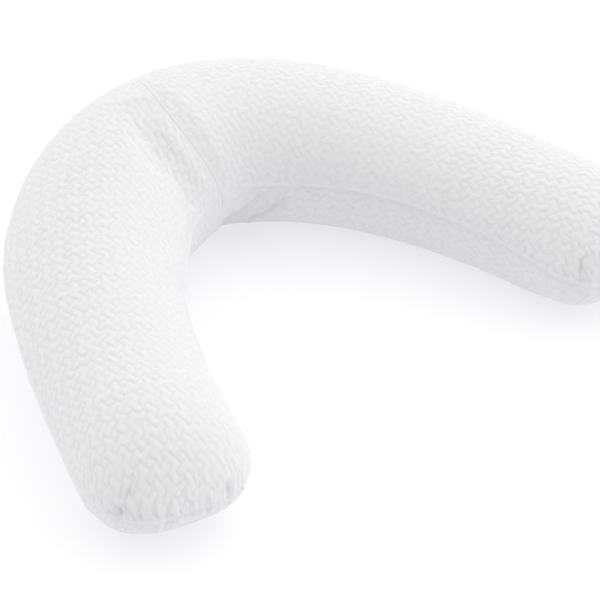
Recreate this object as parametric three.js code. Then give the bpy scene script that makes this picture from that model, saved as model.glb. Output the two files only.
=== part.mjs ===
// Boomerang pillow: a plump tube of knit cloth, bent at a cross seam and lying on a flat base.
// Millimetres, +Z up. The outside of the bend points to +Y and the two arms reach towards -Y.
// A place on the cloth is given by two numbers. "along" is the distance on the tube's middle line from the
// cross seam, negative on the left arm. "round" is an angle about that line in degrees: 0 at the seam on the
// inner side, 90 on the crown, 180 at the seam on the outer side and 270 under the base.

import * as THREE from 'three';

// Driving dimensions

// An arm turns by bendTurn degrees over about bendReach beside the cross seam, and by curl more to its end.
const LEFT_ARM = { side: -1, length: 678, bendTurn: 60.7, bendReach: 254, curl: 14.7 };
const RIGHT_ARM = { side: 1, length: 679, bendTurn: 65.8, bendReach: 228, curl: 18.4 };

// Sections of an arm at equal steps from the cross seam to the end, without the rounding of the end.
const SECTIONS = [
  { halfWidth: 119, height: 200, seamHeight: 96 },
  { halfWidth: 112, height: 184, seamHeight: 92 },
  { halfWidth: 101, height: 165, seamHeight: 95 },
  { halfWidth: 95, height: 152, seamHeight: 88 },
  { halfWidth: 98, height: 151, seamHeight: 67 },
];
const UNDERSIDE_POWER = 2.6;
const BASE_SQUASH = 0.1;

// The end narrows to its seam over cornerReach seen from above, and over noseReach seen from the side.
const END = { cornerReach: 100, cornerPower: 2.9, noseReach: 138, nosePower: 1.95 };

// The cross seam bows towards the left arm between the crown and the inner side.
const SEAM_BOW = { depth: 40, round: 45, reach: 120 };
const CROSS_SEAM = { depth: 3, halfWidth: 5, dipDepth: 4, dipHalfWidth: 26 };
const SIDE_SEAM = { depth: 3, halfWidth: 6 };

// Troughs in the cloth, each between two places, and with a negative depth the folds that stand proud.
const FOLDS = [
  // The dent beside the cross seam, and the cloth that is pushed up on its far side.
  { from: { along: -42, round: 84 }, to: { along: -80, round: 50 }, halfWidth: 15, depth: 4 },
  { from: { along: -80, round: 50 }, to: { along: -50, round: 10 }, halfWidth: 14, depth: 6 },
  { from: { along: -122, round: 64 }, to: { along: -118, round: 22 }, halfWidth: 26, depth: -3 },
  // Two creases in the crook of the bend, under the side seam, with a fold between them.
  { from: { along: 12, round: 331 }, to: { along: 120, round: 354 }, halfWidth: 8, depth: 8 },
  { from: { along: 92, round: 318 }, to: { along: 166, round: 350 }, halfWidth: 8, depth: 7 },
  { from: { along: 60, round: 328 }, to: { along: 146, round: 352 }, halfWidth: 11, depth: -5 },
  { from: { along: -70, round: 330 }, to: { along: -24, round: 352 }, halfWidth: 9, depth: 5 },
  // The fuller inner side of the left arm, just past the bend.
  { from: { along: -170, round: 10 }, to: { along: -330, round: 5 }, halfWidth: 55, depth: -5 },
  // Pleats that draw the cloth in at the corners of the left end.
  { from: { along: -662, round: 184 }, to: { along: -642, round: 140 }, halfWidth: 8, depth: 7 },
  { from: { along: -663, round: 150 }, to: { along: -640, round: 124 }, halfWidth: 7, depth: 4 },
  { from: { along: -674, round: 350 }, to: { along: -656, round: 48 }, halfWidth: 8, depth: 6 },
  { from: { along: -677, round: 30 }, to: { along: -660, round: 66 }, halfWidth: 7, depth: 3 },
  // Pleats at the corners of the right end.
  { from: { along: 655, round: 356 }, to: { along: 622, round: 40 }, halfWidth: 8, depth: 6 },
  { from: { along: 668, round: 186 }, to: { along: 650, round: 132 }, halfWidth: 8, depth: 5 },
];
const FOLD_STEPS = 8;

// Folds and seams die out this close to the base, which stays flat where it lies on a surface.
const BASE_FADE = { from: 2, to: 18 };

// Mesh steps
const FIRST_STEP = 4;
const STEP_GROWTH = 1.3;
const BEND_STEP = 11;
const BEND_STEPS_END = 190;
const ARM_STEP = 22;
const END_RINGS = 12;
const QUARTER_ROUNDS = [0, 3, 7, 12, 19, 28, 38, 49, 60, 70, 80];
// Shares of the way down from a side seam to the edge of the base.
const OUTER_SHARES = [0.015, 0.06, 0.15, 0.33, 0.62, 1];
const INNER_SHARES = [0.015, 0.05, 0.1, 0.17, 0.26, 0.37, 0.5, 0.65, 0.82, 1];
const WIDEST_BASE_ROUND = 80;

const CLOTH = new THREE.MeshStandardMaterial({
  name: 'white_knit',
  color: 0xeeedf2,
  roughness: 0.9,
  metalness: 0,
});

const { clamp, degToRad, radToDeg, smoothstep } = THREE.MathUtils;

// The tube's middle line and section

function heading(arm, distance) {
  const bend = arm.bendTurn * Math.tanh(distance / arm.bendReach);
  return degToRad(bend + (arm.curl * distance) / arm.length);
}

// Points of an arm's middle line at every millimetre from the cross seam.
function middleLine(arm) {
  const points = [new THREE.Vector2()];
  for (let distance = 0.5; distance < arm.length + 1; distance += 1) {
    const angle = heading(arm, distance);
    const step = new THREE.Vector2(arm.side * Math.cos(angle), -Math.sin(angle));
    points.push(points.at(-1).clone().add(step));
  }
  return points;
}

const MIDDLE_LINES = new Map([LEFT_ARM, RIGHT_ARM].map((arm) => [arm, middleLine(arm)]));

const SIZES = new THREE.CatmullRomCurve3(
  SECTIONS.map((row) => new THREE.Vector3(row.halfWidth, row.height, row.seamHeight)),
  false,
  'catmullrom',
);

// How much of the full section is left at a distance, where the end rounds off over a reach.
function endShare(arm, distance, reach, power) {
  const past = clamp((distance - arm.length + reach) / reach, 0, 1);
  return Math.pow(1 - Math.pow(past, power), 1 / power);
}

function sectionAt(arm, distance) {
  const size = SIZES.getPoint(clamp(distance / arm.length, 0, 1));
  const nose = endShare(arm, distance, END.noseReach, END.nosePower);
  return {
    halfWidth: size.x * endShare(arm, distance, END.cornerReach, END.cornerPower),
    rise: (size.y - size.z) * nose,
    drop: size.z * nose * (1 + BASE_SQUASH),
    seamHeight: size.z,
  };
}

// The arm and the distance on it of a place, after the bow of the cross seam.
function placeOn(along, round) {
  const facing = Math.max(0, Math.cos(degToRad(round - SEAM_BOW.round)));
  const bow = SEAM_BOW.depth * facing ** 2 * Math.exp(-((along / SEAM_BOW.reach) ** 2));
  const bowed = along - bow;
  const arm = bowed < 0 ? LEFT_ARM : RIGHT_ARM;
  return { arm, distance: Math.min(Math.abs(bowed), arm.length) };
}

// A point of the smooth form, without its seams and folds.
function formPoint(along, round) {
  const { arm, distance } = placeOn(along, round);
  const { halfWidth, rise, drop, seamHeight } = sectionAt(arm, distance);
  const line = MIDDLE_LINES.get(arm);
  const before = Math.floor(distance);
  const middle = line[before].clone().lerp(line[before + 1], distance - before);
  const angle = heading(arm, distance);
  const across = Math.cos(degToRad(round));
  const up = Math.sin(degToRad(round));
  const power = up >= 0 ? 2 : UNDERSIDE_POWER;
  const out = halfWidth * Math.sign(across) * Math.abs(across) ** (2 / power);
  const lift = Math.abs(up) ** (2 / power) * (up >= 0 ? rise : -drop);
  return new THREE.Vector3(
    middle.x - arm.side * Math.sin(angle) * out,
    middle.y - Math.cos(angle) * out,
    Math.max(0, seamHeight + lift),
  );
}

function formNormal(along, round) {
  const alongStep = Math.sign(along || 1) * -0.5;
  const roundStep = 0.5;
  const point = formPoint(along, round);
  const onward = formPoint(along + alongStep, round).sub(point).multiplyScalar(Math.sign(alongStep));
  const aside = formPoint(along, round + roundStep).sub(point);
  return onward.cross(aside).normalize();
}

// Seams and folds

const FOLD_PATHS = FOLDS.map(({ from, to, halfWidth, depth }) => {
  const path = [];
  for (let step = 0; step <= FOLD_STEPS; step += 1) {
    const share = step / FOLD_STEPS;
    const turn = ((to.round - from.round + 540) % 360) - 180;
    path.push(formPoint(from.along + (to.along - from.along) * share, from.round + turn * share));
  }
  return { path, halfWidth, depth };
});

const bell = (distance, halfWidth) => Math.exp(-((distance / halfWidth) ** 2));

// A fold's depth at a point fades sideways from its path and towards both ends of it.
function foldDepth({ path, halfWidth, depth }, point) {
  const stretch = new THREE.Line3();
  const nearest = new THREE.Vector3();
  let deepest = 0;
  for (let step = 0; step < FOLD_STEPS; step += 1) {
    stretch.set(path[step], path[step + 1]);
    const share = stretch.closestPointToPointParameter(point, true);
    const aside = stretch.at(share, nearest).distanceTo(point);
    const ends = Math.sin((Math.PI * (step + share)) / FOLD_STEPS) ** 0.5;
    deepest = Math.max(deepest, ends * bell(aside, halfWidth));
  }
  return depth * deepest;
}

// How far the cloth is drawn in at a place.
function drawnIn(along, round, point) {
  const { arm, distance } = placeOn(along, round);
  const seamHeight = sectionAt(arm, distance).seamHeight;
  const cross = CROSS_SEAM.depth * bell(along, CROSS_SEAM.halfWidth);
  const dip = CROSS_SEAM.dipDepth * bell(along, CROSS_SEAM.dipHalfWidth);
  const side = SIDE_SEAM.depth * bell(point.z - seamHeight, SIDE_SEAM.halfWidth);
  const folds = FOLD_PATHS.reduce((sum, fold) => sum + foldDepth(fold, point), 0);
  return (cross + dip + side + folds) * smoothstep(point.z, BASE_FADE.from, BASE_FADE.to);
}

function clothPoint(along, round) {
  const point = formPoint(along, round);
  return point.addScaledVector(formNormal(along, round), -drawnIn(along, round, point));
}

// The mesh, as rings round the tube from one end to the other

// Distances of an arm's rings from the cross seam, closer beside that seam, in the bend and at the end.
function ringDistances(arm) {
  const distances = [];
  const endStart = arm.length - END.cornerReach;
  let step = FIRST_STEP;
  for (let distance = step; distance < endStart - ARM_STEP / 2; distance += step) {
    distances.push(distance);
    step = Math.min(step * STEP_GROWTH, distance < BEND_STEPS_END ? BEND_STEP : ARM_STEP);
  }
  for (let ring = 0; ring < END_RINGS; ring += 1) {
    const left = 1 - ring / END_RINGS;
    distances.push(arm.length - END.cornerReach * left ** 2);
  }
  return distances;
}

// Angles of a ring's points, with the edges of the flat base among them.
function ringRounds(along) {
  const arm = along < 0 ? LEFT_ARM : RIGHT_ARM;
  const { drop, seamHeight } = sectionAt(arm, Math.abs(along));
  const touching = Math.asin(Math.min(1, seamHeight / drop) ** (UNDERSIDE_POWER / 2));
  const edge = Math.min(radToDeg(touching), WIDEST_BASE_ROUND);
  const outer = OUTER_SHARES.map((share) => 180 + share * edge);
  const inner = INNER_SHARES.map((share) => 360 - share * edge).reverse();
  const farQuarter = QUARTER_ROUNDS.map((round) => 180 - round).reverse();
  return [...QUARTER_ROUNDS, 90, ...farQuarter, ...outer, 270, ...inner];
}

function middleOf(ring) {
  return ring.reduce((sum, point) => sum.add(point), new THREE.Vector3()).divideScalar(ring.length);
}

function pillowGeometry() {
  const left = ringDistances(LEFT_ARM).map((distance) => -distance).reverse();
  const alongs = [...left, 0, ...ringDistances(RIGHT_ARM)];
  const rings = alongs.map((along) => ringRounds(along).map((round) => clothPoint(along, round)));
  const count = rings[0].length;
  const leftTip = rings.length * count;
  const rightTip = leftTip + 1;
  const points = [...rings.flat(), middleOf(rings[0]), middleOf(rings.at(-1))];
  const faces = [];
  for (let side = 0; side < count; side += 1) {
    const next = (side + 1) % count;
    for (let ring = 0; ring + 1 < rings.length; ring += 1) {
      const here = ring * count;
      const there = here + count;
      faces.push(here + side, there + side, there + next, here + side, there + next, here + next);
    }
    const lastRing = leftTip - count;
    faces.push(leftTip, side, next, rightTip, lastRing + next, lastRing + side);
  }
  const geometry = new THREE.BufferGeometry().setFromPoints(points);
  geometry.setIndex(faces);

  // The origin lies under the middle of the pillow's box, on the surface that it lies on.
  geometry.computeBoundingBox();
  const middle = geometry.boundingBox.getCenter(new THREE.Vector3());
  geometry.translate(-middle.x, -middle.y, -geometry.boundingBox.min.z);
  geometry.computeVertexNormals();
  return geometry;
}

const pillow = new THREE.Mesh(pillowGeometry(), CLOTH);
pillow.name = 'pillow';

const part = new THREE.Group();
part.add(pillow);

export default part;
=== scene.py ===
"""Boomerang pillow: two plump arms of white knit cloth, sewn together at a cross seam.

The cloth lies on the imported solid's own form, drawn finer. It has the same tube, seams and folds. Then come
the tucks, puckers and gathers that are too small for the solid, and last the raised, interlocked bars of the
knit, which Geometry Nodes make. Lengths in the tables below are millimetres.
"""

import math
from types import SimpleNamespace

import bpy
import numpy as np
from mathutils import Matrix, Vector


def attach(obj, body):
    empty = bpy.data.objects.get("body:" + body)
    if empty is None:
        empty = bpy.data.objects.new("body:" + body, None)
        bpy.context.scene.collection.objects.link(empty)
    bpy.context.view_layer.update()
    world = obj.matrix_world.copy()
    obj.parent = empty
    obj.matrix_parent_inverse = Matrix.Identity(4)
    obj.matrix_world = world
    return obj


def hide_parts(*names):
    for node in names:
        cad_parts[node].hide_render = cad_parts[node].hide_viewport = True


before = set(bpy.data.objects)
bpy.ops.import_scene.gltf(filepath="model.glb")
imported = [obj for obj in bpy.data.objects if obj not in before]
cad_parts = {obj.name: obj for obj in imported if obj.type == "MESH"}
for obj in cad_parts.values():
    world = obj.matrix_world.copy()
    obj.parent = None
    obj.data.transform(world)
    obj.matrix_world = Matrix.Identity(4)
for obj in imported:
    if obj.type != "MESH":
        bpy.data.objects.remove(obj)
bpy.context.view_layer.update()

bl_info = {
    "name": "Boomerang pillow",
    "version": (1, 0, 0),
    "blender": (4, 5, 0),
    "location": "View3D > Sidebar > Pillow",
    "description": "Makes a boomerang pillow of white knit cloth and a plain stage to look at it on",
    "category": "Add Mesh",
}

MM = 0.001
WHITE = "ffffff"

# The form. A place on the cloth is given by "along", the distance on the tube's middle line from the cross
# seam, negative on the left arm, and "round", an angle about that line in degrees, which is 0 at the seam on
# the inner side.
CROWN = 90
OUTER_SEAM = 180
BASE = 270

# An arm turns by bend_turn degrees over about bend_reach beside the cross seam, and by curl more to its end.
ARMS = {
    "left_arm": {"side": -1, "length": 678, "bend_turn": 60.7, "bend_reach": 254, "curl": 14.7},
    "right_arm": {"side": 1, "length": 679, "bend_turn": 65.8, "bend_reach": 228, "curl": 18.4},
}

# Half width, height and seam height of an arm at equal steps from the cross seam to the end.
SECTIONS = (
    (119, 200, 96),
    (112, 184, 92),
    (101, 165, 95),
    (95, 152, 88),
    (98, 151, 67),
)
# A section is half an ellipse above its seam and squarer below it. It would reach under the floor by a share
# of the seam's height, and is squashed flat there instead.
SECTION_POWER = {"above": 2, "below": 2.6}
BASE_SQUASH = 0.1
# An end rounds off over the corners' reach seen from above, and over the nose's reach seen from the side.
END = {"corner_reach": 100, "corner_power": 2.9, "nose_reach": 138, "nose_power": 1.95}
# The cross seam bows towards the left arm, in full at one angle, and the tube dips beside it.
SEAM_BOW = {"depth": 40, "round": 45, "reach": 120}
CROSS_DIP = {"depth": 2.5, "half_width": 26}
# In the crook of the bend the tube is pinched in below its side seam by a share of its half width, in full
# where the sine of the angle below the seam passes full_at.
CROOK = {"share": 0.13, "along": 35, "reach": 55, "full_at": 0.5}
# Seams and folds come in between these heights above the floor.
BASE_FADE = (1, 10)

# At the cross seam both panels roll down into a thin line. It is tight on the upper panels and slack below
# them, and changes between each pair of angles.
CROSS_SEAM = {"depth": 0.8, "roll": 2.2, "slack": 0.1, "inner_side": (2, 20), "outer_side": (215, 185)}
# At the side seam the edge of the upper panel stands up as a fine ridge, and the lower panel starts a step
# deeper. Both lose a share at the ends.
SIDE_SEAM = {
    "line": 2.4,
    "roll": 2.6,
    "ridge": 3.4,
    "ridge_at": 2.4,
    "ridge_width": 2.8,
    "step": 2.6,
    "step_reach": 9,
    "end_loss": 0.45,
}
# In the crook the side seam is slack as well, and tightens between these distances from the cross seam.
SLACK_CROOK = (45, 150)
# An arm's end starts and is complete at these distances from its tip.
END_ZONE = (70, 10)

# Soft troughs through two or more places, (along, round) each. A negative depth stands proud.
FOLDS = (
    # The dent beside the cross seam, and the cloth that is pushed up between them.
    {"path": ((-28, 98), (-68, 62), (-86, 40), (-114, 10)), "half_width": 29, "depth": 11},
    {"path": ((-14, 80), (-30, 45), (-48, 8)), "half_width": 10, "depth": -2},
    # Fine creases along the dent.
    {"path": ((-44, 92), (-70, 68), (-84, 52)), "half_width": 4, "depth": 1.6, "power": 1},
    {"path": ((-78, 88), (-104, 62), (-122, 42)), "half_width": 4, "depth": 1.6, "power": 1},
    {"path": ((-86, 44), (-104, 24), (-114, 12)), "half_width": 4, "depth": 1.6, "power": 1},
    # The fuller inner side of the left arm, just past the bend.
    {"path": ((-170, 10), (-330, 5)), "half_width": 55, "depth": -5},
    # The outer corner of the left end, drawn in, and pleats at both of its corners.
    {"path": ((-600, 190), (-652, 194), (-674, 216)), "half_width": 32, "depth": 5},
    {"path": ((-658, 178), (-657, 166), (-655, 152)), "half_width": 4, "depth": 6, "power": 1},
    {"path": ((-655, 148), (-651, 136), (-645, 124)), "half_width": 4, "depth": 4, "power": 1},
    {"path": ((-674, 350), (-673, 12), (-669, 42)), "half_width": 5, "depth": 5, "power": 1},
    {"path": ((-676, 16), (-672, 46)), "half_width": 4, "depth": 3, "power": 1},
    {"path": ((-677, 32), (-671, 64)), "half_width": 4, "depth": 3, "power": 1},
    # The fuller inner corner of the right end, and pleats at both of its corners.
    {"path": ((600, 338), (660, 330)), "half_width": 28, "depth": -4},
    {"path": ((645, 0), (640, 20), (634, 36)), "half_width": 5, "depth": 7, "power": 1},
    {"path": ((668, 186), (650, 132)), "half_width": 7, "depth": 5},
)
# A fold's profile falls off with this power of the distance, unless its row gives another.
FOLD_POWER = 2
# A path is followed in this many steps between two places.
PATH_STEPS = 8

# Tucks are folds with a sharp side. The cloth stands proud along the path and drops on the right of it into
# a crease, from which it rises slowly. The three depths are at the start, at the fade's share of the way and
# at the end. The ridge comes in over the fade at the start, and all runs out over the same share at the end.
TUCK_FADE = 0.2
TUCK_CREASE = {"share": 0.5, "width": 7}
TUCKS = (
    {
        "path": ((12, 308), (14, 322), (16, 336), (66, 346), (112, 355), (132, 360)),
        "depths": (16, 21, 8),
        "drop": 2,
        "rise": 30,
        "ridge": 3,
        "ridge_width": 7,
    },
    {
        "path": ((84, 308), (95, 322), (108, 331), (127, 338), (147, 344), (163, 350), (178, 360)),
        "depths": (3, 22, 8),
        "drop": 1.5,
        "rise": 26,
        "ridge": 6,
        "ridge_width": 4.5,
    },
)
# Points further from a path than this many half widths of a fold, or rises of a tuck, are left alone.
FOLD_SPREAD = 3
TUCK_SPREAD = 4

# The panels are eased into the side seam, which puckers them, and are gathered more at the ends. There is
# one random height at each knot along the seam, and the waves start and die away at distances from it.
PUCKERS = {"knot": 5.5, "height": 0.45, "start": 4, "reach": 11}
GATHERS = {"knot": 7, "height": 0.9, "start": 5, "reach": 18}
SPARE_KNOTS = 6

# Cells of the mesh are closer by these shares near the cross seam and the side seam. They are wider below
# the side seam, and widest on the base, which is what lies lower than "flat".
CELLS = {
    "cross": 1.6,
    "cross_reach": 9,
    "side": 1.2,
    "side_reach": 7,
    "below": 0.8,
    "base": 0.2,
    "flat": 0.5,
}
# The cells are even round the ring at this share of an arm's length.
EVEN_RING = 0.4
# Fine steps, from which even ones are picked: along an arm, over its rounded end and half way round a ring.
FINE_STEPS = {"arm": 2000, "end": 4000, "half_ring": 3600}
# Points that are compared with a seam at one time, to save memory.
BLOCK = 4000

# The knit lies on a grid of square units. Its two directions are angles at the cross seam, from the arm
# towards the inner side. A stretch is the size of a unit on the filled pillow against its size in the flat
# cloth. GRAIN and RELIEF have an entry for each side: -1 is the left arm and 1 the right.
GRAIN = {
    -1: ({"angle": 80.5, "stretch": 0.92}, {"angle": 182.2, "stretch": 1.03}),
    1: ({"angle": 86.4, "stretch": 1.01}, {"angle": 5.0, "stretch": 1.02}),
}
# A flat panel turns by this share of its arm's own turn, and reaches back past the bow of the cross seam.
PANEL_TURN = 0.75
PANEL_START = -80
# The knit's rows swing to and fro by a few waves of these lengths.
WAVER = {"waves": 14, "lengths": (7, 40), "swing": 0.42, "most_shift": 6}

# The relief's share in the bend, and how much of it is lost on the inner side, where the loss comes in
# between two distances from the cross seam.
RELIEF = {
    -1: {"in_bend": 0.76, "inner_loss": 0.42, "inner_from": 60, "inner_to": 160},
    1: {"in_bend": 0.9, "inner_loss": 0.42, "inner_from": 540, "inner_to": 330},
}
# The relief comes in over these distances from a seam, over these heights above the floor, and over this
# distance from the bend.
RELIEF_FROM_SEAM = (1.5, 7)
RELIEF_FROM_FLOOR = (1, 14)
RELIEF_FROM_BEND = 200
# The inner side's loss comes in between these angles.
RELIEF_INNER = (105, 60)
# Shares of the relief below the side seam: outside, and inside in the crook and past it.
RELIEF_BELOW = {"outside": 0.8, "crook": 0.4, "past_crook": 0.85, "crook_ends": (60, 260)}
# Reach of the shade in a groove, in bar widths.
GROOVE_SHADE = 0.27
# Sizes of the patches where the relief is stronger or weaker, and where the painted shade in the grooves is
# weaker or stronger, as if grooves lay open or closed.
RELIEF_PATCH = 11
GROOVE_PATCH = 8
# Nearly all values of a noise texture lie between these.
NOISE_RANGE = (0.3, 0.7)
# Loops of the knit are about 1.3 mm wide, and are drawn more than twice as wide to show at all.
LOOP = 3.2
# Depth that the bumps of the loops and of the bars' edges stand for.
BUMP = 0.4

SENSOR_WIDTH = 36


class PillowSettings(bpy.types.PropertyGroup):
    """Sizes and colours of the cloth."""

    cell: bpy.props.FloatProperty(
        name="Cell",
        description="Size of the mesh cells on the shown cloth",
        default=2.02 * MM,
        unit="LENGTH",
    )
    bar_width: bpy.props.FloatProperty(
        name="Bar width",
        description="Width of one raised bar of the knit",
        default=9.5 * MM,
        unit="LENGTH",
    )
    relief: bpy.props.FloatProperty(
        name="Relief",
        description="Height of the raised bars",
        default=1.07 * MM,
        unit="LENGTH",
    )
    groove: bpy.props.FloatProperty(
        name="Groove",
        description="Reach of a groove into a bar, in bar widths",
        default=0.36,
        subtype="FACTOR",
    )
    uneven: bpy.props.FloatProperty(
        name="Uneven",
        description="How much the relief varies from place to place",
        default=0.7,
        subtype="FACTOR",
    )
    seed: bpy.props.IntProperty(
        name="Seed",
        description="Seed of the puckers and of the uneven relief",
        default=7,
    )
    knit_colour: bpy.props.StringProperty(
        name="Knit colour",
        description="Colour of the raised knit, as an sRGB hex value",
        default="e5e5e6",
    )
    # Painted shade: the colour that the knit is darkened to in its grooves, where shade falls.
    groove_shade_colour: bpy.props.StringProperty(
        name="Groove shade colour",
        description="Colour of the painted shade in the knit's grooves, as an sRGB hex value",
        default="e0e0e1",
    )


class StageSettings(bpy.types.PropertyGroup):
    """The floor, the light and the camera."""

    floor_size: bpy.props.FloatProperty(
        name="Floor size",
        description="Side of the floor",
        default=16.0,
        unit="LENGTH",
    )
    floor_colour: bpy.props.StringProperty(
        name="Floor colour",
        description="Colour of the floor, as an sRGB hex value",
        default="c6c6c8",
    )
    floor_glow: bpy.props.FloatProperty(
        name="Floor glow",
        description="Strength of the light from below the floor",
        default=0.45,
    )
    sky: bpy.props.FloatProperty(
        name="Sky",
        description="Strength of the soft light all round",
        default=1.53,
    )
    sky_slope: bpy.props.FloatVectorProperty(
        name="Sky slope",
        description="How the soft light grows towards +X, +Y and up",
        default=(0.66, 0.55, -0.38),
    )
    flag: bpy.props.FloatProperty(
        name="Flag",
        description="How much soft light a dark board behind the pillow takes away",
        default=1.5,
    )
    flag_side: bpy.props.FloatVectorProperty(
        name="Flag side",
        description="The way from the pillow to the dark board",
        default=(0.667, 0.745, 0),
    )
    key: bpy.props.FloatProperty(
        name="Key",
        description="Power of the large soft lamp",
        default=5.0,
        unit="POWER",
    )
    key_size: bpy.props.FloatProperty(
        name="Key size",
        description="Side of the large soft lamp",
        default=1.8,
        unit="LENGTH",
    )
    key_place: bpy.props.FloatVectorProperty(
        name="Key place",
        description="Place of the large soft lamp, from what the camera looks at",
        default=(2.0, 1.0, 1.7),
        unit="LENGTH",
    )
    azimuth: bpy.props.FloatProperty(
        name="Azimuth",
        description="The camera's place round the pillow",
        default=-0.73,
        subtype="ANGLE",
    )
    elevation: bpy.props.FloatProperty(
        name="Elevation",
        description="The camera's height above the floor",
        default=0.67767,
        subtype="ANGLE",
    )
    distance: bpy.props.FloatProperty(
        name="Distance",
        description="From the camera to what it looks at",
        default=2.6548,
        unit="LENGTH",
    )
    aim: bpy.props.FloatVectorProperty(
        name="Aim",
        description="What the camera looks at",
        default=(-0.03905, -0.11715, 0.09),
        unit="LENGTH",
    )
    lens: bpy.props.FloatProperty(
        name="Lens",
        description="Focal length in millimetres on a 36 mm sensor",
        default=133.44,
    )


# The smooth form


def smooth(value, low, high):
    """0 at low and before it, 1 at high and past it, and a smooth step between. High may be the smaller."""
    share = np.clip((value - low) / (high - low), 0, 1)
    return share * share * (3 - 2 * share)


def bell(distance, half_width):
    """A smooth bump of height 1."""
    return np.exp(-((distance / half_width) ** 2))


def heading(arm, distance):
    """The turn of the arm's middle line at distances from the cross seam, in radians."""
    bend = arm["bend_turn"] * np.tanh(distance / arm["bend_reach"])
    return np.radians(bend + arm["curl"] * distance / arm["length"])


def middle_line(arm):
    """Points of the arm's middle line at every millimetre from the cross seam."""
    turns = heading(arm, np.arange(arm["length"] + 1) + 0.5)
    steps = np.column_stack((arm["side"] * np.cos(turns), -np.sin(turns)))
    return np.vstack((np.zeros((1, 2)), np.cumsum(steps, axis=0)))


def section_sizes(share):
    """Half width, height and seam height at shares of an arm's length, on a curve through SECTIONS."""
    rows = np.array(SECTIONS, float)
    rows = np.vstack((2 * rows[0] - rows[1], rows, 2 * rows[-1] - rows[-2]))
    place = np.clip(share, 0, 1) * (len(SECTIONS) - 1)
    first = np.minimum(place.astype(int), len(SECTIONS) - 2)
    t = (place - first)[..., None]
    before, start, stop, after = (rows[first + step] for step in range(4))
    slope = (stop - before) * t
    bend = (2 * before - 5 * start + 4 * stop - after) * t**2
    twist = (3 * start - before - 3 * stop + after) * t**3
    size = start + 0.5 * (slope + bend + twist)
    return size[..., 0], size[..., 1], size[..., 2]


def end_share(arm, distance, reach, power):
    """How much of the full section is left at a distance, where the end rounds off over a reach."""
    past = np.clip((distance - arm["length"] + reach) / reach, 0, 1)
    return (1 - past**power) ** (1 / power)


def section_at(arm, distance):
    """Half width, rise over the seam, drop under it and seam height at distances on an arm."""
    half_width, height, seam = section_sizes(distance / arm["length"])
    nose = end_share(arm, distance, END["nose_reach"], END["nose_power"])
    corner = end_share(arm, distance, END["corner_reach"], END["corner_power"])
    return half_width * corner, (height - seam) * nose, seam * nose * (1 + BASE_SQUASH), seam


def section_outline(around, half_width, rise, drop):
    """Distances towards the inner side and above the seam, at angles round a section."""
    across = np.cos(np.radians(around))
    up = np.sin(np.radians(around))
    power = np.where(up >= 0, SECTION_POWER["above"], SECTION_POWER["below"])
    inward = half_width * np.sign(across) * np.abs(across) ** (2 / power)
    lift = np.abs(up) ** (2 / power) * np.where(up >= 0, rise, -drop)
    return inward, lift


def bowed_place(along, around):
    """Distances on the middle line, negative on the left arm, after the bow of the cross seam."""
    facing = np.maximum(0, np.cos(np.radians(around - SEAM_BOW["round"])))
    return along - SEAM_BOW["depth"] * facing**2 * bell(along, SEAM_BOW["reach"])


def form_points(along, around):
    """Points of the smooth form, without its seams and folds."""
    along, around = np.broadcast_arrays(np.asarray(along, float), np.asarray(around, float))
    bowed = bowed_place(along, around)
    points = np.empty(along.shape + (3,))
    for arm in ARMS.values():
        here = (bowed < 0) == (arm["side"] < 0)
        distance = np.minimum(np.abs(bowed[here]), arm["length"])
        half_width, rise, drop, seam = section_at(arm, distance)
        inward, lift = section_outline(around[here], half_width, rise, drop)
        below = smooth(-np.sin(np.radians(around[here])), 0, CROOK["full_at"])
        pinch = CROOK["share"] * bell(along[here] - CROOK["along"], CROOK["reach"]) * below
        inward = np.where(inward > 0, inward * (1 - pinch), inward)
        line = middle_line(arm)
        marks = np.arange(len(line))
        angle = heading(arm, distance)
        x = np.interp(distance, marks, line[:, 0]) - arm["side"] * np.sin(angle) * inward
        y = np.interp(distance, marks, line[:, 1]) - np.cos(angle) * inward
        points[here] = np.stack((x, y, np.maximum(0, seam + lift)), axis=-1)
    return points


# The grid of one arm


def spaced(values, steps, size):
    """The first of values, then one after each size of the steps between them, and the last."""
    reach = np.concatenate(([0], np.cumsum(steps)))
    count = math.ceil(reach[-1] / size)
    return np.interp(np.linspace(0, reach[-1], count + 1), reach, values)


def ring_distances(arm, cell):
    """Places of the rings from the cross seam to the tip, even on the cloth and closer at the seam."""
    start = arm["length"] - END["corner_reach"]
    angle = np.linspace(0, math.pi / 2, FINE_STEPS["end"])[1:-1]
    corner = start + END["corner_reach"] * np.sin(angle) ** (2 / END["corner_power"])
    distance = np.concatenate((np.linspace(0, start, FINE_STEPS["arm"]), corner))
    half_width, rise, _, _ = section_at(arm, distance)
    sideways = np.hypot(np.diff(distance), np.diff(half_width))
    upward = np.hypot(np.diff(distance), np.diff(rise))
    closer = 1 + CELLS["cross"] * bell(distance[1:], CELLS["cross_reach"])
    return spaced(distance, np.maximum(sideways, upward) * closer, cell)


def ring_rounds(arm, cell):
    """Angles of a ring's points, close at the side seam and wide on the base, and the outer seam's place."""
    half = FINE_STEPS["half_ring"]
    around = np.linspace(0, 360, 2 * half + 1)
    half_width, rise, drop, seam = section_at(arm, np.array([EVEN_RING * arm["length"]]))
    inward, lift = section_outline(around, half_width, rise, drop)
    height = np.maximum(0, seam + lift)
    steps = np.hypot(np.diff(inward), np.diff(height))
    reach = np.cumsum(steps)
    to_seam = np.minimum(np.minimum(reach, reach[-1] - reach), np.abs(reach - reach[half]))
    closer = 1 + CELLS["side"] * bell(to_seam, CELLS["side_reach"])
    closer = np.where(around[1:] > OUTER_SEAM, closer * CELLS["below"], closer)
    closer = np.where(height[1:] < CELLS["flat"], CELLS["base"], closer)
    upper = spaced(around[: half + 1], (steps * closer)[:half], cell)
    lower = spaced(around[half:], (steps * closer)[half:], cell)
    return np.concatenate((upper[:-1], lower[:-1])), len(upper) - 1


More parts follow.
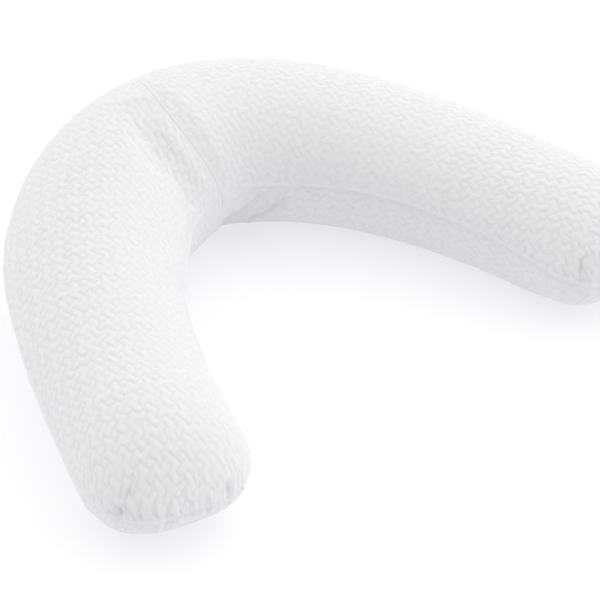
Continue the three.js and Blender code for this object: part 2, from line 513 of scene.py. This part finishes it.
def grid_normals(points):
    """Outward normals of a grid of rings, closed round each ring."""
    onward = np.gradient(points, axis=0)
    aside = np.roll(points, -1, axis=1) - np.roll(points, 1, axis=1)
    normals = np.cross(onward, aside)
    return normals / np.maximum(np.linalg.norm(normals, axis=2, keepdims=True), 1e-9)


def nearest_on_line(points, line):
    """Distance of each point to a row of points, and the number of the nearest one."""
    distance = np.empty(len(points))
    nearest = np.empty(len(points), int)
    for start in range(0, len(points), BLOCK):
        block = slice(start, start + BLOCK)
        squares = (points[block] ** 2).sum(axis=1)[:, None] + (line**2).sum(axis=1)
        nearest[block] = (squares - 2 * points[block] @ line.T).argmin(axis=1)
        distance[block] = np.linalg.norm(points[block] - line[nearest[block]], axis=1)
    return distance, nearest


def arm_grid(arm, cell):
    """The smooth form of one arm as rings of points, with what its seams, folds and knit depend on."""
    # The last place is the tip, which is no ring.
    distances = ring_distances(arm, cell)[:-1]
    rounds, outer_column = ring_rounds(arm, cell)
    # One ring past the cross seam is there for the normals alone.
    alongs = arm["side"] * np.concatenate(([-distances[1]], distances))
    along, around = np.meshgrid(alongs, rounds, indexing="ij")
    form = form_points(along, around)
    normals = grid_normals(form) * arm["side"]
    grid = SimpleNamespace(distances=distances, rounds=rounds)
    grid.along = along[1:]
    grid.around = around[1:]
    grid.form = form[1:]
    grid.normals = normals[1:]
    grid.shape = grid.along.shape
    grid.upper = grid.around <= OUTER_SEAM
    grid.inner = np.abs((grid.around + 180) % 360 - 180) < 90
    grid.at_end = smooth(distances, *(arm["length"] - np.array(END_ZONE)))[:, None]

    # Distances on the cloth from the cross seam and from the side seam, and places along the side seam.
    steps = np.linalg.norm(np.diff(grid.form, axis=0), axis=2)
    grid.from_cross = np.vstack((np.zeros((1, len(rounds))), np.cumsum(steps, axis=0)))
    seam = np.vstack((grid.form[:, 0], grid.form[::-1, outer_column]))
    seam_places = np.concatenate(([0], np.cumsum(np.linalg.norm(np.diff(seam, axis=0), axis=1))))
    from_side, nearest = nearest_on_line(grid.form.reshape(-1, 3), seam)
    grid.from_side = from_side.reshape(grid.shape)
    grid.seam_place = seam_places[nearest].reshape(grid.shape)
    return grid


# The cloth on that grid


def roll_in(distance, depth, roll):
    """How deep cloth lies at a distance from a seam that it rolls down into."""
    left = np.clip(1 - distance / roll, 0, 1)
    return depth * (1 - np.sqrt(1 - left**2))


def seam_depth(grid):
    """How deep the cloth lies at its seams."""
    tight = smooth(grid.around, *CROSS_SEAM["inner_side"]) * smooth(grid.around, *CROSS_SEAM["outer_side"])
    tight = CROSS_SEAM["slack"] + (1 - CROSS_SEAM["slack"]) * tight
    depth = tight * CROSS_DIP["depth"] * bell(grid.along, CROSS_DIP["half_width"])
    depth += tight * roll_in(grid.from_cross, CROSS_SEAM["depth"], CROSS_SEAM["roll"])
    sewn = np.where(grid.inner, smooth(np.abs(grid.along), *SLACK_CROOK), 1)
    sewn = sewn * (1 - SIDE_SEAM["end_loss"] * grid.at_end)
    edge = roll_in(grid.from_side, SIDE_SEAM["line"], SIDE_SEAM["roll"])
    edge -= SIDE_SEAM["ridge"] * bell(grid.from_side - SIDE_SEAM["ridge_at"], SIDE_SEAM["ridge_width"])
    step = SIDE_SEAM["step"] * np.exp(-grid.from_side / SIDE_SEAM["step_reach"])
    return depth + sewn * np.where(grid.upper, edge, step)


def path_reach(points, normals, places, widest):
    """For points near a path: their numbers, distances to the right of it and shares of the way along it."""
    steps = np.linspace(0, len(places) - 1, PATH_STEPS * (len(places) - 1) + 1)
    along, around = np.unwrap(np.array(places, float), axis=0, period=360).T
    marks = np.arange(len(places))
    path = form_points(np.interp(steps, marks, along), np.interp(steps, marks, around))
    low = path.min(axis=0) - widest
    high = path.max(axis=0) + widest
    near = np.flatnonzero(np.all((points > low) & (points < high), axis=1))
    best = np.full(len(near), np.inf)
    aside = np.zeros(len(near))
    share = np.zeros(len(near))
    for step in range(len(path) - 1):
        direction = path[step + 1] - path[step]
        offset = points[near] - path[step]
        onward = np.clip(offset @ direction / (direction @ direction), 0, 1)
        offset = offset - onward[:, None] * direction
        distance = np.linalg.norm(offset, axis=1)
        right = np.einsum("ij,ij->i", np.cross(offset, direction), normals[near])
        closer = distance < best
        best[closer] = distance[closer]
        aside[closer] = (np.sign(right) * distance)[closer]
        share[closer] = (step + onward[closer]) / (len(path) - 1)
    return near, aside, share


def fold_depth(grid):
    """How deep the cloth lies in its folds and tucks."""
    points = grid.form.reshape(-1, 3)
    normals = grid.normals.reshape(-1, 3)
    depth = np.zeros(len(points))
    for fold in FOLDS:
        near, aside, share = path_reach(points, normals, fold["path"], FOLD_SPREAD * fold["half_width"])
        strength = np.sqrt(np.maximum(0, np.sin(math.pi * share)))
        profile = np.exp(-(np.abs(aside / fold["half_width"]) ** fold.get("power", FOLD_POWER)))
        depth[near] += fold["depth"] * strength * profile
    for tuck in TUCKS:
        near, aside, share = path_reach(points, normals, tuck["path"], TUCK_SPREAD * tuck["rise"])
        run_out = smooth(share, 1, 1 - TUCK_FADE)
        deep = np.interp(share, (0, TUCK_FADE, 1), tuck["depths"]) * run_out
        drop = smooth(aside, -tuck["drop"], tuck["drop"])
        ridge = tuck["ridge"] * smooth(share, 0, TUCK_FADE) * run_out
        stand = ridge * (1 - drop) * bell(aside, tuck["ridge_width"])
        past = np.maximum(aside, 0)
        crease = TUCK_CREASE["share"] * np.exp(-past / TUCK_CREASE["width"])
        slope = (1 - TUCK_CREASE["share"]) * np.exp(-past / tuck["rise"])
        depth[near] += deep * drop * (crease + slope) - stand
    return depth.reshape(grid.shape)


def wander(places, knot, rng):
    """A smooth random value at each place, with one random knot every few millimetres."""
    knots = rng.normal(0, 1, int(places.max() / knot) + SPARE_KNOTS)
    at = places / knot + 1
    first = at.astype(int)
    ease = smooth(at - first, 0, 1)
    return knots[first] * (1 - ease) + knots[first + 1] * ease


def pucker_depth(grid, rng):
    """How deep the cloth lies in the puckers along the side seam and in the gathers at the end."""
    depth = np.zeros(grid.shape)
    for waves, share in ((PUCKERS, 1 - grid.at_end), (GATHERS, grid.at_end)):
        height = waves["height"] * wander(grid.seam_place, waves["knot"], rng)
        fade = np.exp(-grid.from_side / waves["reach"]) * smooth(grid.from_side, 0, waves["start"])
        depth += height * fade * share
    return depth


def panel_places(arm, grid, rng):
    """Where each point lay in its flat panel: along it from the cross seam, and towards the inner side."""
    gap = np.linalg.norm(np.diff(grid.form, axis=1), axis=2)
    reach = np.hstack((np.zeros((len(gap), 1)), np.cumsum(gap, axis=1)))
    crown = reach[:, np.abs(grid.rounds - CROWN).argmin()][:, None]
    base = reach[:, np.abs(grid.rounds - BASE).argmin()][:, None]
    inward = np.where(grid.upper, crown - reach, reach - base)
    # Down the nose at the end, the cloth is longer than the middle line under it.
    _, rise, drop, _ = section_at(arm, grid.distances)
    level = np.where(grid.upper, rise[:, None], drop[:, None]) * np.abs(np.sin(np.radians(grid.around)))
    onward = np.diff(grid.distances, prepend=0)[:, None]
    longer = np.cumsum(np.hypot(onward, np.diff(level, axis=0, prepend=level[:1])) - onward, axis=0)
    marks = np.arange(PANEL_START, arm["length"] + 2)
    turn = PANEL_TURN * heading(arm, marks)
    place = arm["side"] * bowed_place(grid.along, grid.around)
    here = np.interp(place, marks, turn)
    lengthwise = np.interp(place, marks, np.cumsum(np.cos(turn)))
    lengthwise += np.cos(here) * longer - np.sin(here) * inward
    sideways = np.interp(place, marks, np.cumsum(np.sin(turn)))
    sideways += np.sin(here) * longer + np.cos(here) * inward
    # The rows of the knit waver a little, as stretched cloth does.
    for _ in range(WAVER["waves"]):
        way = rng.uniform(0, 2 * math.pi)
        wave = 2 * math.pi / rng.uniform(*WAVER["lengths"])
        shift = rng.uniform(0, WAVER["most_shift"])
        across = lengthwise * math.cos(way) + sideways * math.sin(way)
        swing = WAVER["swing"] * np.sin(wave * across + shift)
        lengthwise = lengthwise - swing * math.sin(way)
        sideways = sideways + swing * math.cos(way)
    return lengthwise, sideways


def knit_places(arm, lengthwise, sideways):
    """Places on the knit's grid, along its two directions."""
    directions = []
    for grain in GRAIN[arm["side"]]:
        angle = math.radians(grain["angle"])
        directions.append(grain["stretch"] * np.array((math.cos(angle), math.sin(angle))))
    places = np.stack((lengthwise.ravel(), sideways.ravel()))
    first, second = np.linalg.solve(np.column_stack(directions), places)
    flat = np.stack((first, second, np.zeros(len(first))), axis=-1)
    return flat.reshape(lengthwise.shape + (3,))


def relief_share(arm, grid):
    """Shares of the relief: none at seams and the base, less in the bend, on the inner side and below."""
    relief = RELIEF[arm["side"]]
    from_bend = np.abs(grid.along)
    share = smooth(grid.from_side, *RELIEF_FROM_SEAM) * smooth(grid.from_cross, *RELIEF_FROM_SEAM)
    share *= smooth(grid.form[..., 2], *RELIEF_FROM_FLOOR)
    share *= relief["in_bend"] + (1 - relief["in_bend"]) * smooth(from_bend, 0, RELIEF_FROM_BEND)
    loss = relief["inner_loss"] * smooth(from_bend, relief["inner_from"], relief["inner_to"])
    above = 1 - loss * smooth(grid.around, *RELIEF_INNER)
    gain = RELIEF_BELOW["past_crook"] - RELIEF_BELOW["crook"]
    inside = RELIEF_BELOW["crook"] + gain * smooth(from_bend, *RELIEF_BELOW["crook_ends"])
    below = np.where(grid.inner, inside, RELIEF_BELOW["outside"])
    return share * np.where(grid.upper, above, below)


def arm_cloth(arm, settings):
    """The cloth of one arm before its relief: points, places on the knit's grid and shares of the relief."""
    rng = np.random.default_rng(settings.seed + arm["side"])
    grid = arm_grid(arm, settings.cell / MM)
    depth = seam_depth(grid) + fold_depth(grid) + pucker_depth(grid, rng)
    depth *= smooth(grid.form[..., 2], *BASE_FADE)
    points = grid.form - grid.normals * depth[..., None]
    points[..., 2] = np.maximum(points[..., 2], 0)
    flat_place = knit_places(arm, *panel_places(arm, grid, rng))
    return SimpleNamespace(points=points, flat_place=flat_place, relief_share=relief_share(arm, grid))


# Meshes and nodes


def arm_mesh(name, cloth, shift):
    """A closed mesh of one arm: its rings, its tip, and a wall inside the cross seam."""
    # Rings run from left to right on both arms, so that faces point outwards.
    order = ARMS[name]["side"]
    points = (cloth.points + shift)[::order]
    flat_place = cloth.flat_place[::order]
    share = cloth.relief_share[::order]
    rings, count = share.shape
    number = np.arange(rings * count).reshape(rings, count)
    following = np.roll(number, -1, axis=1)
    quads = np.stack((number[:-1], number[1:], following[1:], following[:-1]), axis=-1).reshape(-1, 4)
    first = rings * count
    last = first + 1
    caps = [(first, int(a), int(b)) for a, b in zip(number[0], following[0])]
    caps += [(last, int(b), int(a)) for a, b in zip(number[-1], following[-1])]
    middles = np.stack((points[0].mean(axis=0), points[-1].mean(axis=0)))
    vertices = np.vstack((points.reshape(-1, 3), middles)) * MM
    mesh = bpy.data.meshes.new(name)
    mesh.from_pydata(vertices.tolist(), [], quads.tolist() + caps)
    places = np.vstack((flat_place.reshape(-1, 3), np.zeros((2, 3)))) * MM
    attribute = mesh.attributes.new("flat_place", "FLOAT_VECTOR", "POINT")
    attribute.data.foreach_set("vector", places.astype(np.float32).ravel())
    shares = np.concatenate((share.ravel(), (0, 0)))
    attribute = mesh.attributes.new("relief_share", "FLOAT", "POINT")
    attribute.data.foreach_set("value", shares.astype(np.float32))
    mesh.update()
    return mesh


def linear(hex_colour):
    """An sRGB hex colour as linear red, green, blue and alpha."""
    parts = [int(hex_colour[i : i + 2], 16) / 255 for i in (0, 2, 4)]
    return [c / 12.92 if c <= 0.04045 else ((c + 0.055) / 1.055) ** 2.4 for c in parts] + [1.0]


def add(tree, kind, settings=None, inputs=None):
    """Adds a node with its settings. An input that is a node's socket is linked, and a value is set."""
    node = tree.nodes.new(kind)
    for name, value in (settings or {}).items():
        setattr(node, name, value)
    for name, value in (inputs or {}).items():
        if isinstance(value, bpy.types.NodeSocket):
            tree.links.new(value, node.inputs[name])
        else:
            node.inputs[name].default_value = value
    return node


# The knit's raised bars, as rows of a name, an operation and what it works on. "u" and "v" are the place in
# units of the grid. A groove runs round each unit. In every row and column each third groove is left out,
# one unit further on in the next row or column, so that the units join into short bars that turn and
# interlock.
BARS = (
    ("column", "FLOOR", "u"),
    ("row", "FLOOR", "v"),
    ("x", "SUBTRACT", "u", "column"),
    ("y", "SUBTRACT", "v", "row"),
    ("from_right", "SUBTRACT", 1, "x"),
    ("from_top", "SUBTRACT", 1, "y"),
    ("from_side", "MINIMUM", "x", "from_right"),
    ("from_end", "MINIMUM", "y", "from_top"),
    ("side_square", "MULTIPLY", "from_side", "from_side"),
    ("end_square", "MULTIPLY", "from_end", "from_end"),
    ("sum", "ADD", "row", "column"),
    ("difference", "SUBTRACT", "row", "column"),
    ("row_turn", "FLOORED_MODULO", "sum", 3),
    ("column_turn", "FLOORED_MODULO", "difference", 3),
    ("left_open", "COMPARE", "row_turn", 1, 0.1),
    ("right_open", "COMPARE", "row_turn", 0, 0.1),
    ("foot_open", "COMPARE", "column_turn", 1, 0.1),
    ("top_open", "COMPARE", "column_turn", 0, 0.1),
    ("left_gap", "MULTIPLY", "left_open", "end_square"),
    ("right_gap", "MULTIPLY", "right_open", "end_square"),
    ("foot_gap", "MULTIPLY", "foot_open", "side_square"),
    ("top_gap", "MULTIPLY", "top_open", "side_square"),
    ("left", "MULTIPLY_ADD", "x", "x", "left_gap"),
    ("right", "MULTIPLY_ADD", "from_right", "from_right", "right_gap"),
    ("foot", "MULTIPLY_ADD", "y", "y", "foot_gap"),
    ("top", "MULTIPLY_ADD", "from_top", "from_top", "top_gap"),
    ("nearer_side", "MINIMUM", "left", "right"),
    ("nearer_end", "MINIMUM", "foot", "top"),
    ("nearest", "MINIMUM", "nearer_side", "nearer_end"),
    ("to_groove", "SQRT", "nearest"),
)


def bar_height(tree, place, width, groove):
    """Height of the raised bars, from 0 in a groove to 1 on a bar, at a place in the flat panel."""
    apart = add(tree, "ShaderNodeSeparateXYZ", {}, {0: place})
    sockets = {}
    for name, side in (("u", "X"), ("v", "Y")):
        sizes = {0: apart.outputs[side], 1: width}
        sockets[name] = add(tree, "ShaderNodeMath", {"operation": "DIVIDE"}, sizes).outputs[0]
    for name, operation, *terms in BARS:
        inputs = {i: sockets.get(term, term) for i, term in enumerate(terms)}
        sockets[name] = add(tree, "ShaderNodeMath", {"operation": operation}, inputs).outputs[0]
    rise = {"Value": sockets["to_groove"], "From Max": groove}
    return add(tree, "ShaderNodeMapRange", {"interpolation_type": "SMOOTHSTEP"}, rise).outputs["Result"]


def relief_tree():
    """The Geometry Nodes that raise the knit's bars on the cloth."""
    tree = bpy.data.node_groups.new("Raised bars", "GeometryNodeTree")
    sockets = (
        ("Cloth", "INPUT", "NodeSocketGeometry"),
        ("Bar width", "INPUT", "NodeSocketFloat"),
        ("Relief", "INPUT", "NodeSocketFloat"),
        ("Groove", "INPUT", "NodeSocketFloat"),
        ("Uneven", "INPUT", "NodeSocketFloat"),
        ("Seed", "INPUT", "NodeSocketFloat"),
        ("Material", "INPUT", "NodeSocketMaterial"),
        ("Cloth", "OUTPUT", "NodeSocketGeometry"),
    )
    for name, way, kind in sockets:
        tree.interface.new_socket(name, in_out=way, socket_type=kind)
    given = add(tree, "NodeGroupInput").outputs
    place = {"Name": "flat_place"}
    place = add(tree, "GeometryNodeInputNamedAttribute", {"data_type": "FLOAT_VECTOR"}, place)
    place = place.outputs["Attribute"]
    share = add(tree, "GeometryNodeInputNamedAttribute", {}, {"Name": "relief_share"}).outputs["Attribute"]
    height = bar_height(tree, place, given["Bar width"], given["Groove"])
    # The relief is stronger in some patches and weaker in others.
    noise = {"Vector": place, "W": given["Seed"], "Scale": 1 / (RELIEF_PATCH * MM), "Detail": 1.0}
    noise = add(tree, "ShaderNodeTexNoise", {"noise_dimensions": "4D"}, noise).outputs[0]
    least = add(tree, "ShaderNodeMath", {"operation": "SUBTRACT"}, {0: 1.0, 1: given["Uneven"]}).outputs[0]
    most = add(tree, "ShaderNodeMath", {"operation": "ADD"}, {0: 1.0, 1: given["Uneven"]}).outputs[0]
    low, high = NOISE_RANGE
    spread = {"Value": noise, "From Min": low, "From Max": high, "To Min": least, "To Max": most}
    strength = add(tree, "ShaderNodeMapRange", {}, spread).outputs["Result"]
    # Bars rise by half of the relief, and grooves sink by the other half.
    lift = add(tree, "ShaderNodeMath", {"operation": "SUBTRACT"}, {0: height, 1: 0.5}).outputs[0]
    for factor in (strength, share, given["Relief"]):
        lift = add(tree, "ShaderNodeMath", {"operation": "MULTIPLY"}, {0: lift, 1: factor}).outputs[0]
    normal = add(tree, "GeometryNodeInputNormal").outputs["Normal"]
    offset = add(tree, "ShaderNodeVectorMath", {"operation": "SCALE"}, {0: normal, "Scale": lift}).outputs[0]
    raised = add(tree, "GeometryNodeSetPosition", {}, {"Geometry": given["Cloth"], "Offset": offset})
    even = add(tree, "GeometryNodeSetShadeSmooth", {}, {"Geometry": raised.outputs[0]})
    real = add(tree, "GeometryNodeRealizeInstances", {}, {"Geometry": even.outputs[0]})
    dressed = {"Geometry": real.outputs[0], "Material": given["Material"]}
    dressed = add(tree, "GeometryNodeSetMaterial", {}, dressed)
    add(tree, "NodeGroupOutput", {}, {"Cloth": dressed.outputs[0]})
    return tree


def set_inputs(modifier, values):
    """Sets a Geometry Nodes modifier's inputs by their names."""
    for item in modifier.node_group.interface.items_tree:
        if item.item_type == "SOCKET" and item.in_out == "INPUT" and item.name in values:
            modifier[item.identifier] = values[item.name]


def settled(thing):
    """Turns an object with modifiers into a plain mesh."""
    graph = bpy.context.evaluated_depsgraph_get()
    mesh = bpy.data.meshes.new_from_object(
        thing.evaluated_get(graph), preserve_all_data_layers=True, depsgraph=graph
    )
    thing.modifiers.clear()
    old = thing.data
    thing.data = mesh
    mesh.name = thing.name
    bpy.data.meshes.remove(old)


def new_material(name):
    """A material and its empty node tree."""
    material = bpy.data.materials.new(name)
    material.use_nodes = True
    material.node_tree.nodes.clear()
    return material, material.node_tree


def knit_material(settings):
    """White cotton double knit: matt and a little downy, so edges glow softly. Its grooves get a painted
    shade of greyer colour.
    """
    material, tree = new_material("White cotton double knit")
    place = add(tree, "ShaderNodeAttribute", {"attribute_name": "flat_place"}).outputs["Vector"]
    share = add(tree, "ShaderNodeAttribute", {"attribute_name": "relief_share"}).outputs["Fac"]
    height = bar_height(tree, place, settings.bar_width, GROOVE_SHADE)
    # The grooves' painted shade is weaker in some patches, where grooves are pulled open, and stronger in
    # others, where they lie closed.
    closed = {"Vector": place, "Scale": 1 / (GROOVE_PATCH * MM), "Detail": 2.0}
    closed = add(tree, "ShaderNodeTexNoise", {}, closed).outputs[0]
    low, high = NOISE_RANGE
    closed = {"Value": closed, "From Min": low, "From Max": high, "To Min": 0.0, "To Max": 2.0}
    closed = add(tree, "ShaderNodeMapRange", {}, closed).outputs["Result"]
    # Painted shade: how far the knit's colour goes towards the groove shade colour, most deep in a groove,
    # scaled by the relief's share and by those patches.
    shade = add(tree, "ShaderNodeMath", {"operation": "SUBTRACT"}, {0: 1.0, 1: height}).outputs[0]
    for factor in (share, closed):
        shade = add(tree, "ShaderNodeMath", {"operation": "MULTIPLY"}, {0: shade, 1: factor}).outputs[0]
    # A colour mix keeps its colours in its seventh and eighth inputs.
    colours = {"Factor": shade, 6: linear(settings.knit_colour), 7: linear(settings.groove_shade_colour)}
    colour = add(tree, "ShaderNodeMix", {"data_type": "RGBA"}, colours)
    loops = {"Vector": place, "Scale": 1 / (LOOP * MM), "Randomness": 0.8}
    loops = add(tree, "ShaderNodeTexVoronoi", {"feature": "SMOOTH_F1"}, loops).outputs["Distance"]
    yarn = {"Strength": 0.6, "Distance": BUMP * MM, "Height": loops}
    yarn = add(tree, "ShaderNodeBump", {"invert": True}, yarn)
    bars = {"Strength": 0.4, "Distance": BUMP * MM, "Height": height, "Normal": yarn.outputs[0]}
    bars = add(tree, "ShaderNodeBump", {}, bars)
    cloth = {
        "Base Color": colour.outputs[2],
        "Roughness": 0.88,
        "Specular IOR Level": 0.25,
        "Sheen Weight": 0.18,
        "Sheen Roughness": 0.55,
        "Normal": bars.outputs[0],
    }
    cloth = add(tree, "ShaderNodeBsdfPrincipled", {}, cloth)
    add(tree, "ShaderNodeOutputMaterial", {}, {"Surface": cloth.outputs[0]})
    return material


def floor_material(settings):
    """Opal acrylic of a light table: matt and pale, and lit from below, so that shadows on it stay faint."""
    material, tree = new_material("Opal acrylic")
    spot = add(tree, "ShaderNodeTexCoord").outputs["Object"]
    # Rubbed patches about 500 mm across are a little rougher.
    tone = {"Vector": spot, "Scale": 1 / (500 * MM), "Detail": 3.0}
    tone = add(tree, "ShaderNodeTexNoise", {}, tone).outputs[0]
    rough = {"Value": tone, "To Min": 0.8, "To Max": 0.9}
    rough = add(tree, "ShaderNodeMapRange", {}, rough).outputs["Result"]
    acrylic = {
        "Base Color": linear(settings.floor_colour),
        "Roughness": rough,
        "Specular IOR Level": 0.2,
        "Emission Color": linear(WHITE),
        "Emission Strength": settings.floor_glow,
    }
    acrylic = add(tree, "ShaderNodeBsdfPrincipled", {}, acrylic)
    add(tree, "ShaderNodeOutputMaterial", {}, {"Surface": acrylic.outputs[0]})
    return material


# The stage


def stage_floor(settings):
    """A square floor round the pillow's middle."""
    half = settings.floor_size / 2
    mesh = bpy.data.meshes.new("floor")
    corners = [(-half, -half, 0), (half, -half, 0), (half, half, 0), (-half, half, 0)]
    mesh.from_pydata(corners, [], [(0, 1, 2, 3)])
    mesh.materials.append(floor_material(settings))
    return bpy.data.objects.new("floor", mesh)


def studio_world(settings):
    """Soft light from all round, and more from behind the pillow, but for a dark board there."""
    world = bpy.data.worlds.new("Studio")
    world.use_nodes = True
    tree = world.node_tree
    tree.nodes.clear()
    way = add(tree, "ShaderNodeTexCoord").outputs["Generated"]
    dot = {"operation": "DOT_PRODUCT"}
    slope = add(tree, "ShaderNodeVectorMath", dot, {0: way, 1: settings.sky_slope}).outputs["Value"]
    board = add(tree, "ShaderNodeVectorMath", dot, {0: way, 1: settings.flag_side}).outputs["Value"]
    light = add(tree, "ShaderNodeMath", {"operation": "ADD"}, {0: slope, 1: settings.sky}).outputs[0]
    board = add(tree, "ShaderNodeMath", {"operation": "MAXIMUM"}, {0: board, 1: 0.0}).outputs[0]
    for factor in (board, settings.flag):
        board = add(tree, "ShaderNodeMath", {"operation": "MULTIPLY"}, {0: board, 1: factor}).outputs[0]
    light = add(tree, "ShaderNodeMath", {"operation": "SUBTRACT"}, {0: light, 1: board}).outputs[0]
    sky = add(tree, "ShaderNodeBackground", {}, {"Color": linear(WHITE), "Strength": light})
    add(tree, "ShaderNodeOutputWorld", {}, {"Surface": sky.outputs[0]})
    return world


def key_lamp(settings):
    """A large soft lamp behind the pillow, turned to what the camera looks at."""
    data = bpy.data.lights.new("key", "AREA")
    data.size = settings.key_size
    data.energy = settings.key
    lamp = bpy.data.objects.new("key", data)
    lamp.location = Vector(settings.aim) + Vector(settings.key_place)
    lamp.rotation_euler = Vector(settings.key_place).to_track_quat("Z", "Y").to_euler()
    return lamp


def photo_camera(settings):
    """The camera at the photo's angle to the pillow."""
    data = bpy.data.cameras.new("camera")
    data.lens = settings.lens
    data.sensor_width = SENSOR_WIDTH
    camera = bpy.data.objects.new("camera", data)
    level = math.cos(settings.elevation)
    back = Vector((math.sin(settings.azimuth) * level, -math.cos(settings.azimuth) * level, 0))
    back.z = math.sin(settings.elevation)
    camera.location = Vector(settings.aim) + back * settings.distance
    camera.rotation_euler = back.to_track_quat("Z", "Y").to_euler()
    return camera


class PILLOW_OT_arms(bpy.types.Operator):
    """Make the two arms of the pillow, with their seams, folds and raised knit"""

    bl_idname = "pillow.arms"
    bl_label = "Pillow arms"

    def execute(self, context):
        settings = context.scene.pillow
        cloths = {name: arm_cloth(arm, settings) for name, arm in ARMS.items()}
        everything = np.vstack([cloth.points.reshape(-1, 3) for cloth in cloths.values()])
        shift = -(everything.min(axis=0) + everything.max(axis=0)) / 2
        shift[2] = 0
        tree = relief_tree()
        values = {
            "Bar width": settings.bar_width,
            "Relief": settings.relief,
            "Groove": settings.groove,
            "Uneven": settings.uneven,
            "Seed": float(settings.seed),
            "Material": knit_material(settings),
        }
        for name, cloth in cloths.items():
            piece = bpy.data.objects.new(name, arm_mesh(name, cloth, shift))
            context.scene.collection.objects.link(piece)
            modifier = piece.modifiers.new("Relief", "NODES")
            modifier.node_group = tree
            set_inputs(modifier, values)
            settled(piece)
            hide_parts("pillow")
            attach(piece, "root")
        return {"FINISHED"}


class PILLOW_OT_stage(bpy.types.Operator):
    """Make the floor, the soft studio light and the camera"""

    bl_idname = "pillow.stage"
    bl_label = "Stage"

    def execute(self, context):
        settings = context.scene.pillow_stage
        scene = context.scene
        floor = stage_floor(settings)
        camera = photo_camera(settings)
        for thing in (floor, key_lamp(settings), camera):
            scene.collection.objects.link(thing)
        scene.world = studio_world(settings)
        scene.camera = camera
        # A photo of white cloth on white is exposed to near white, which the standard view keeps.
        scene.view_settings.view_transform = "Standard"
        return {"FINISHED"}


class PILLOW_PT_panel(bpy.types.Panel):
    """The pillow's operators and settings in the sidebar"""

    bl_idname = "PILLOW_PT_panel"
    bl_label = "Boomerang pillow"
    bl_space_type = "VIEW_3D"
    bl_region_type = "UI"
    bl_category = "Pillow"

    def draw(self, context):
        for operator, settings in (
            (PILLOW_OT_arms, context.scene.pillow),
            (PILLOW_OT_stage, context.scene.pillow_stage),
        ):
            self.layout.operator(operator.bl_idname)
            for name in settings.__annotations__:
                self.layout.prop(settings, name)


CLASSES = (PillowSettings, StageSettings, PILLOW_OT_arms, PILLOW_OT_stage, PILLOW_PT_panel)


def register():
    """Adds the classes and the scene's settings to Blender."""
    for one in CLASSES:
        bpy.utils.register_class(one)
    bpy.types.Scene.pillow = bpy.props.PointerProperty(type=PillowSettings)
    bpy.types.Scene.pillow_stage = bpy.props.PointerProperty(type=StageSettings)


def unregister():
    """Takes them out again."""
    del bpy.types.Scene.pillow_stage
    del bpy.types.Scene.pillow
    for one in reversed(CLASSES):
        bpy.utils.unregister_class(one)


def main():
    """Makes the pillow and its stage."""
    register()
    bpy.ops.pillow.arms()
    bpy.ops.pillow.stage()


if __name__ == "__main__":
    main()
